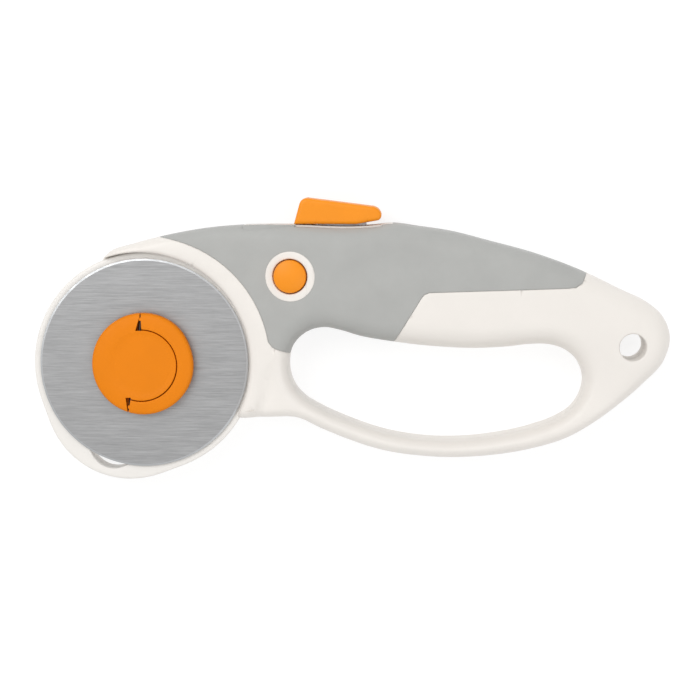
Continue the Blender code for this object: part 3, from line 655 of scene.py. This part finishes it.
# Wedge-shaped gaps at the bail's two ends, wide at the disc and closing towards the rim
NOTCH_UPPER = [(-2.0, 9.6), (-0.2, 9.6), (-0.42, 13.6), (-0.5, 15.5), (-0.74, 15.5), (-0.78, 13.6)]
NOTCH_LOWER = [(-4.95, -9.6), (-3.4, -9.6), (-4.05, -13.4), (-4.3, -15.5), (-4.54, -15.5), (-4.5, -13.4)]


def knob_radius(points):
    """The knob's outline is round with a slight flat towards the upper right."""
    turn = np.degrees(np.arctan2(points[:, 1], points[:, 0]))
    return KNOB_R - 0.3 * bump(turn, 18, 24)


def knob_outline():
    ring = circle((0, 0), KNOB_R, 0.5)
    return ring * (knob_radius(ring) / KNOB_R)[:, None]


def crowned(points):
    """Top of the knob and of the bail: a flat disc, a soft step, and a ring that falls to the rim."""
    radius = np.hypot(*points.T)
    step = 0.22 * (1 - blend(radius, 8.5, 9.6))
    return KNOB_Z[1] - 0.12 - step - 0.35 * blend(radius, 11.2, KNOB_R)


def make_knob():
    edge = knob_outline()
    disc = circle(DISC_AT, DISC_R + GROOVE - 0.3, 0.5)
    bail_side = dense([NOTCH_UPPER[4], NOTCH_UPPER[1], NOTCH_LOWER[1], NOTCH_LOWER[4], (24, -16),
                       (24, 16)], 0.4)
    upper, lower = dense(NOTCH_UPPER, 0.3), dense(NOTCH_LOWER, 0.3)

    def below_bail(points):
        return inside(points, bail_side) & ~inside(points, disc)

    def notch(points):
        return inside(points, upper) | inside(points, lower)

    def face(points):
        drop = rounding(distance(points, edge), *KNOB_ROUND)
        by_bail = inside(points, bail_side) | (past_hinge(points) > 1.2)
        gap = np.where(by_bail, distance(points, disc), DISC_ROUND[0])
        return crowned(points) - drop - rounding(gap, *DISC_ROUND)

    def under(points):
        return KNOB_Z[0] + rounding(distance(points, edge), 0.5, 0.5)

    pocket = hexagon(4.95, 1.0)
    rims = [(edge, KNOB_ROUND[0]), (disc, DISC_ROUND[0]), (bail_side, 0),
            (upper, 0), (lower, 0), (pocket, 0)]
    top = [(None, face), (below_bail, level(BAIL_Z[0] - GAP)), (notch, level(BAIL_Z[0] - GAP))]
    bottom = [(None, under), (pocket, level(19.1))]
    return terrain("orange_knob", rims, lambda p: inside(p, edge), top, bottom, 0.8)


def make_bail():
    edge = knob_outline()
    disc = circle(DISC_AT, DISC_R + GROOVE, 0.5)
    front = dense([NOTCH_UPPER[3], NOTCH_UPPER[2], NOTCH_UPPER[1], NOTCH_LOWER[1], NOTCH_LOWER[2],
                   NOTCH_LOWER[3], (-4.0, -20.0), (24, -16), (24, 16)], 0.4)
    ears = [dense([hinge_place(side * along, across) for along, across in EAR], 0.3) for side in (1, -1)]
    axis_z = (BAIL_Z[0] + BAIL_Z[1]) / 2

    def solid(points):
        half = inside(points, edge) & ~inside(points, disc) & inside(points, front)
        for line in ears:
            half |= inside(points, line)
        return half

    def half_ear(points):
        across = past_hinge(points)
        round_end = np.sqrt(np.maximum(EAR_R**2 - np.clip(np.abs(across), 0, EAR_R) ** 2, 0.0))
        return np.where(across > 0, EAR_R, round_end) - 0.001

    def only_ear(points):
        return ~inside(points, front)

    def face(points):
        drop = rounding(distance(points, edge), *KNOB_ROUND) + rounding(distance(points, disc), *DISC_ROUND)
        return crowned(points) - drop

    def under(points):
        return BAIL_Z[0] + rounding(distance(points, edge), 0.4, 0.4)

    def ear_top(points):
        return axis_z + half_ear(points)

    def ear_under(points):
        return axis_z - half_ear(points)

    rims = [(edge, KNOB_ROUND[0]), (disc, DISC_ROUND[0]), (front, 0)] + [(line, 0) for line in ears]
    return terrain("orange_bail", rims, solid, [(None, face), (only_ear, ear_top)],
                   [(None, under), (only_ear, ear_under)], 0.7)


# ---------------------------------------------------------------- slide, button and hardware

def make_thumb_slide():
    low, high = (corner.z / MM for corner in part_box("thumb_slide"))
    outline = smooth_loop([
        (43.3, 40.0, CORNER), (44.75, 45.3, CORNER), (45.1, 46.3), (45.8, 47.05), (46.9, 47.4, CORNER),
        (66.2, 44.95, CORNER), (67.3, 44.4), (68.0, 43.5), (68.3, 42.6), (68.1, 41.7), (67.5, 41.1, CORNER),
        (61.2, 40.0, CORNER)], 0.5)
    socket = rectangle((49.7, 39.0), (64.3, 43.5))

    def face(points):
        return high - rounding(distance(points, outline), *SLIDE_ROUND)

    def under(points):
        return low + rounding(distance(points, outline), *SLIDE_ROUND)

    def solid(points):
        return inside(points, outline)

    half = (low + high) / 2
    rims = [(outline, SLIDE_ROUND[0]), (socket, 0)]
    pieces = [terrain("slide_front_half", rims, solid,
                      [(None, face)], [(None, level(half)), (socket, level(11.6))], 0.9),
              terrain("slide_rear_half", rims, solid,
                      [(None, level(half)), (socket, level(9.0))], [(None, under)], 0.9)]
    return joined("orange_thumb_slide", pieces)


def joined(name, pieces):
    """Several meshes as one, without the doubled faces where they meet."""
    whole = bmesh.new()
    for piece in pieces:
        whole.from_mesh(piece.data)
        bpy.data.objects.remove(piece)
    bmesh.ops.remove_doubles(whole, verts=whole.verts, dist=0.000001)
    seen = {}
    for face in whole.faces:
        seen.setdefault(frozenset(v.index for v in face.verts), []).append(face)
    doubled = [face for faces in seen.values() if len(faces) > 1 for face in faces]
    bmesh.ops.delete(whole, geom=doubled, context="FACES")
    mesh = bpy.data.meshes.new(name)
    whole.to_mesh(mesh)
    whole.free()
    mesh.shade_smooth()
    mesh.set_sharp_from_angle(angle=math.radians(SHARP))
    return placed(name, mesh)


def make_lock_button():
    low, high = (corner.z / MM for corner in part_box("lock_button"))
    dome = [(r, high - 1.75 * (1 - math.sqrt(max(1 - (r / 5.3) ** 2, 0)))) for r in np.linspace(0, 4.5, 12)]
    rim = [(BUTTON_R - 0.13, dome[-1][1] - 0.35), (BUTTON_R, dome[-1][1] - 0.85)]
    profile = dome + rim + [(BUTTON_R, 17.3), (6.2, 17.3), (6.2, 15.9), (2.4, 15.9), (2.4, 8.8), (1.7, 8.8),
                            (1.7, low), (0, low)]
    return lathe("orange_lock_button", BUTTON_AT, profile, 96)


def make_screw(node, centre, head_r, low, high, shank_r, tip):
    """A pan head with a cross recess, seen from the back, and its plain shank."""
    arms = []
    for turn in (math.radians(20), math.radians(110)):
        u, v = np.array([math.cos(turn), math.sin(turn)]), np.array([-math.sin(turn), math.cos(turn)])
        corners = [u * a + v * b for a, b in ((-1, -0.16), (1, -0.16), (1, 0.16), (-1, 0.16))]
        arms.append(dense([tuple(np.array(centre) + c * head_r * 0.55) for c in corners], 0.25))
    head, shank = circle(centre, head_r, 0.35), circle(centre, shank_r, 0.3)

    def under(points):
        radius = np.hypot(*(points - centre).T)
        return low + 0.5 * (radius / head_r) ** 2 + rounding(distance(points, head), 0.35, 0.3)

    def recess(points):
        return inside(points, arms[0]) | inside(points, arms[1])

    rims = [(head, 0.35), (shank, 0), (arms[0], 0), (arms[1], 0)]
    return terrain("fine_" + node, rims, lambda p: inside(p, head),
                   [(None, level(high)), (shank, level(tip))],
                   [(None, under), (recess, level(low + 0.95))], 0.6)


def make_axle_bolt():
    low, high = (corner.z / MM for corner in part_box("axle_bolt"))
    head, shank = circle((0, 0), 4.5, 0.4), circle((0, 0), 2.5, 0.4)
    socket = hexagon(2.0, 0.5)

    def under(points):
        return low + rounding(distance(points, head), 0.5, 0.45)

    return terrain("fine_axle_bolt", [(head, 0.5), (shank, 0), (socket, 0)], lambda p: inside(p, head),
                   [(None, level(7.0)), (shank, level(high))], [(None, under), (socket, level(6.4))], 0.8)


def make_spring_washer():
    """A washer cupped, rising from its rim towards its hole."""
    low, high = (corner.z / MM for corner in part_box("spring_washer"))
    outer, inner = circle((0, 0), 7.2, 0.4), circle((0, 0), 3.0, 0.4)

    def mid(points):
        radius = np.hypot(*points.T)
        return low + 0.15 + (high - low - 0.3) * (1 - blend(radius, 3.0, 7.2))

    return terrain("cupped_washer", [(outer, 0.1), (inner, 0.1)],
                   lambda p: inside(p, outer) & ~inside(p, inner),
                   [(None, lambda p: mid(p) + 0.15)], [(None, lambda p: mid(p) - 0.15)], 0.8)


# ---------------------------------------------------------------- materials

def material(name, colour, roughness, metallic=0.0, **sockets):
    mat = bpy.data.materials.new(name)
    mat.use_nodes = True
    shader = mat.node_tree.nodes["Principled BSDF"]
    shader.inputs["Base Color"].default_value = (*colour, 1.0)
    shader.inputs["Roughness"].default_value = roughness
    shader.inputs["Metallic"].default_value = metallic
    for socket, value in sockets.items():
        shader.inputs[socket.replace("_", " ")].default_value = value
    return mat, mat.node_tree, shader


def noise(tree, scale, detail=3.0, stretch=(1.0, 1.0, 1.0), roughness=0.55):
    """Noise in the piece's own space; scale is in cycles per metre."""
    place = tree.nodes.new("ShaderNodeTexCoord")
    mapping = tree.nodes.new("ShaderNodeMapping")
    mapping.inputs["Scale"].default_value = stretch
    texture = tree.nodes.new("ShaderNodeTexNoise")
    texture.inputs["Scale"].default_value = scale
    texture.inputs["Detail"].default_value = detail
    texture.inputs["Roughness"].default_value = roughness
    tree.links.new(place.outputs["Object"], mapping.inputs["Vector"])
    tree.links.new(mapping.outputs["Vector"], texture.inputs["Vector"])
    return texture.outputs["Fac"]


def spread(tree, value, low, high):
    """Map the middle of a noise's range onto a range of values."""
    node = tree.nodes.new("ShaderNodeMapRange")
    node.inputs["From Min"].default_value = 0.3
    node.inputs["From Max"].default_value = 0.7
    node.inputs["To Min"].default_value = low
    node.inputs["To Max"].default_value = high
    tree.links.new(value, node.inputs["Value"])
    return node.outputs["Result"]


def tinted(tree, shader, value, dark, light):
    """Colour that varies between two tones."""
    ramp = tree.nodes.new("ShaderNodeValToRGB")
    ramp.color_ramp.elements[0].position = 0.3
    ramp.color_ramp.elements[1].position = 0.7
    ramp.color_ramp.elements[0].color = (*dark, 1.0)
    ramp.color_ramp.elements[1].color = (*light, 1.0)
    tree.links.new(value, ramp.inputs["Fac"])
    tree.links.new(ramp.outputs["Color"], shader.inputs["Base Color"])


def textured(tree, shader, value, strength, depth):
    node = tree.nodes.new("ShaderNodeBump")
    node.inputs["Strength"].default_value = strength
    node.inputs["Distance"].default_value = depth
    tree.links.new(value, node.inputs["Height"])
    tree.links.new(node.outputs["Normal"], shader.inputs["Normal"])


def shade(colour, factor):
    return tuple(min(1.0, c * factor) for c in colour)


def moulded_plastic(name, colour, roughness, variation=0.03, grain=0.25, shine=0.45):
    """Hard moulded plastic: faint flow tone, a slightly uneven gloss, and a fine spark-eroded grain."""
    mat, tree, shader = material(name, colour, roughness, Specular_IOR_Level=shine)
    tinted(tree, shader, noise(tree, 90.0, 3.0), shade(colour, 1 - variation), shade(colour, 1 + variation))
    tree.links.new(spread(tree, noise(tree, 260.0, 4.0), roughness * 0.9, roughness * 1.15),
                   shader.inputs["Roughness"])
    textured(tree, shader, noise(tree, 5200.0, 2.0), grain, 0.00002)
    return mat


def soft_overmould(name, colour):
    """Matt soft-touch skin with a leathery mould grain."""
    mat, tree, shader = material(name, colour, 0.62, Sheen_Weight=0.12, Sheen_Roughness=0.5,
                                 Specular_IOR_Level=0.3)
    tinted(tree, shader, noise(tree, 120.0, 4.0), shade(colour, 0.965), shade(colour, 1.03))
    tree.links.new(spread(tree, noise(tree, 700.0, 4.0), 0.56, 0.7), shader.inputs["Roughness"])
    textured(tree, shader, noise(tree, 2600.0, 5.0, roughness=0.7), 0.35, 0.00004)
    return mat


def brushed_steel(name, colour, roughness, stretch, contrast=0.09, scale=60.0, strength=0.12):
    """Steel with brush lines along one direction, in fine and broad streaks."""
    mat, tree, shader = material(name, colour, roughness, 1.0)
    fine = noise(tree, scale, 6.0, stretch, 0.75)
    tinted(tree, shader, fine, shade(colour, 1 - contrast), shade(colour, 1 + contrast))
    broad = noise(tree, scale * 0.3, 4.0, stretch, 0.6)
    tree.links.new(spread(tree, broad, roughness * 0.8, roughness * 1.25), shader.inputs["Roughness"])
    textured(tree, shader, fine, strength, 0.00002)
    return mat


WHITE = moulded_plastic("white_plastic", (0.795, 0.757, 0.712), 0.40, 0.012, 0.15)
GUARD_WHITE = moulded_plastic("guard_plastic", (0.80, 0.772, 0.735), 0.38, 0.012, 0.12)
GREY = soft_overmould("grey_soft_grip", (0.405, 0.407, 0.393))
ORANGE = moulded_plastic("orange_plastic", (0.86, 0.275, 0.006), 0.42, 0.025, 0.15, 0.3)
KNOB_ORANGE = moulded_plastic("knob_plastic", (0.765, 0.212, 0.001), 0.5, 0.025, 0.15, 0.18)
BLACK = moulded_plastic("black_plastic", (0.035, 0.035, 0.038), 0.5, 0.1)
BLADE = brushed_steel("brushed_blade", (0.382, 0.383, 0.386), 0.42, (0.55, 15.0, 1.0), 0.22, 220.0, 0.08)
# The ground bevel is finer steel, and its lighter colour also paints in the thin bright line of reflected
# light along the blade's rim: partly a painted highlight.
EDGE = brushed_steel("ground_edge_with_highlight", (0.52, 0.53, 0.54), 0.45, (1.0, 1.0, 1.0), 0.03, 900.0)
STEEL = brushed_steel("turned_steel", (0.55, 0.55, 0.56), 0.28, (1.0, 1.0, 9.0), 0.05, 500.0)
ZINC = brushed_steel("zinc_screw", (0.52, 0.53, 0.55), 0.34, (1.0, 1.0, 1.0), 0.08, 1500.0)
# Near-black warm brown for the bail's hinge pins: painted shade, so that where they cross the notches
# beside the bail they read as the notches' dark.
PIN_PAINTED_SHADE = brushed_steel("pin_painted_shade_brown", (0.06, 0.05, 0.045), 0.4, (1.0, 1.0, 1.0), 0.1, 1500.0)
BRASS = brushed_steel("machined_brass", (0.72, 0.52, 0.22), 0.28, (1.0, 1.0, 6.0), 0.06, 500.0)


def dress(obj, *mats):
    obj.data.materials.clear()
    for mat in mats:
        obj.data.materials.append(mat)


# ---------------------------------------------------------------- assembly

def show(piece, body, slot, mat, *nodes):
    dress(piece, mat)
    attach(piece, body)
    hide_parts(*nodes)
    return piece


show(make_front_shell(), "handle", "white_plastic", WHITE, "front_shell")
show(make_rear_shell(), "handle", "white_plastic", WHITE, "rear_shell")
show(make_front_grip(), "handle", "soft_grip", GREY, "front_grip")
show(make_rear_grip(), "handle", "soft_grip", GREY, "rear_grip")
show(make_guard(), "handle", "guard_white", GUARD_WHITE, "guard_plate")
show(make_knob(), "knob", "orange_plastic", KNOB_ORANGE, "knob")
show(make_bail(), "bail", "orange_plastic", KNOB_ORANGE, "bail")
show(make_thumb_slide(), "slide", "orange_plastic", ORANGE, "thumb_slide")
show(make_lock_button(), "button", "orange_plastic", ORANGE, "lock_button")
show(make_axle_bolt(), "carriage", "bright_steel", STEEL, "axle_bolt")
show(make_spring_washer(), "washer", "bright_steel", STEEL, "spring_washer")
for kind, places, size in (("housing", HOUSING_SCREWS, HOUSING_SCREW_SIZE),
                           ("guard", GUARD_SCREWS, GUARD_SCREW_SIZE)):
    for number, place in enumerate(places, 1):
        node = f"{kind}_screw_{number}"
        show(make_screw(node, place, *size), "handle", "screw_steel", ZINC, node)

blade = show(make_blade(), "blade", "blade_steel", BLADE, "blade")
# Faces on the bevel take the lighter steel, which carries the painted highlight along the rim.
blade.data.materials.append(EDGE)
for face in blade.data.polygons:
    spot = face.center.xy / MM - HUB
    face.material_index = int(spot.length > BLADE_R - BLADE_BEVEL)

# The bail pins take the dark brown of painted shade.
for names, mat in ((("blade_carriage",), BLACK), (("knob_insert",), BRASS),
                   (("bail_pin_upper", "bail_pin_lower"), PIN_PAINTED_SHADE),
                   (("drive_plate", "drive_pin", "lock_collar", "lock_spring"), STEEL)):
    for name in names:
        dress(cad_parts[name], mat)


# ---------------------------------------------------------------- floor, light and camera

FLOOR_GLOW = 0.75              # the floor is a light table, so that it stays pale in holes and corners
HORIZON_LIGHT = 0.60
OVERHEAD_LIGHT = 0.83
CAMERA_AT = (0.011, 0.0545, 0.640)
CAMERA_AIM = (-0.0004, -0.003, 0.0153)
VIEW_WIDTH = 0.20132           # metres across the view, at the height of the blade


def make_floor():
    shape = bmesh.new()
    bmesh.ops.create_grid(shape, x_segments=2, y_segments=2, size=3.0)
    mesh = bpy.data.meshes.new("floor")
    shape.to_mesh(mesh)
    shape.free()
    floor = placed("floor", mesh)
    mat, tree, shader = material("pale_floor", (0.3, 0.3, 0.3), 0.9, Emission_Color=(1.0, 1.0, 1.0, 1.0),
                                 Emission_Strength=FLOOR_GLOW, Specular_IOR_Level=0.0)
    tinted(tree, shader, noise(tree, 3.0), (0.295, 0.295, 0.295), (0.305, 0.305, 0.305))
    mesh.materials.append(mat)


def area_light(name, place, size, power):
    light = bpy.data.lights.new(name, "AREA")
    light.shape = "DISK"
    light.size = size
    light.energy = power
    obj = placed(name, light)
    obj.location = place
    obj.rotation_euler = (-Vector(place)).to_track_quat("-Z", "Y").to_euler()


def make_world():
    """A white tent: brightest overhead and dimmer towards the horizon."""
    world = bpy.data.worlds.new("studio")
    bpy.context.scene.world = world
    world.use_nodes = True
    tree = world.node_tree
    place = tree.nodes.new("ShaderNodeTexCoord")
    split = tree.nodes.new("ShaderNodeSeparateXYZ")
    height = tree.nodes.new("ShaderNodeMapRange")
    tree.links.new(place.outputs["Generated"], split.inputs["Vector"])
    tree.links.new(split.outputs["Z"], height.inputs["Value"])
    height.inputs["To Min"].default_value = HORIZON_LIGHT
    height.inputs["To Max"].default_value = OVERHEAD_LIGHT
    background = tree.nodes["Background"]
    background.inputs["Color"].default_value = (1.0, 1.0, 1.0, 1.0)
    tree.links.new(height.outputs["Result"], background.inputs["Strength"])


def make_camera():
    """Above the cutter and a little towards its thumb slide, looking down at it."""
    lens = bpy.data.cameras.new("camera")
    lens.sensor_width = 36.0
    camera = placed("camera", lens)
    camera.location = CAMERA_AT
    away = Vector(CAMERA_AT) - Vector(CAMERA_AIM)
    lens.lens = lens.sensor_width * away.length / VIEW_WIDTH
    back = away.normalized()
    right = Vector((0, 1, 0)).cross(back).normalized()
    camera.rotation_euler = Matrix((right, back.cross(right), back)).transposed().to_euler()
    bpy.context.scene.camera = camera


make_floor()
make_world()
area_light("key", (-0.35, 0.45, 0.8), 0.7, 3.6)
area_light("fill", (0.5, -0.2, 0.8), 0.8, 1.2)
make_camera()
bpy.context.scene.view_settings.view_transform = "Standard"
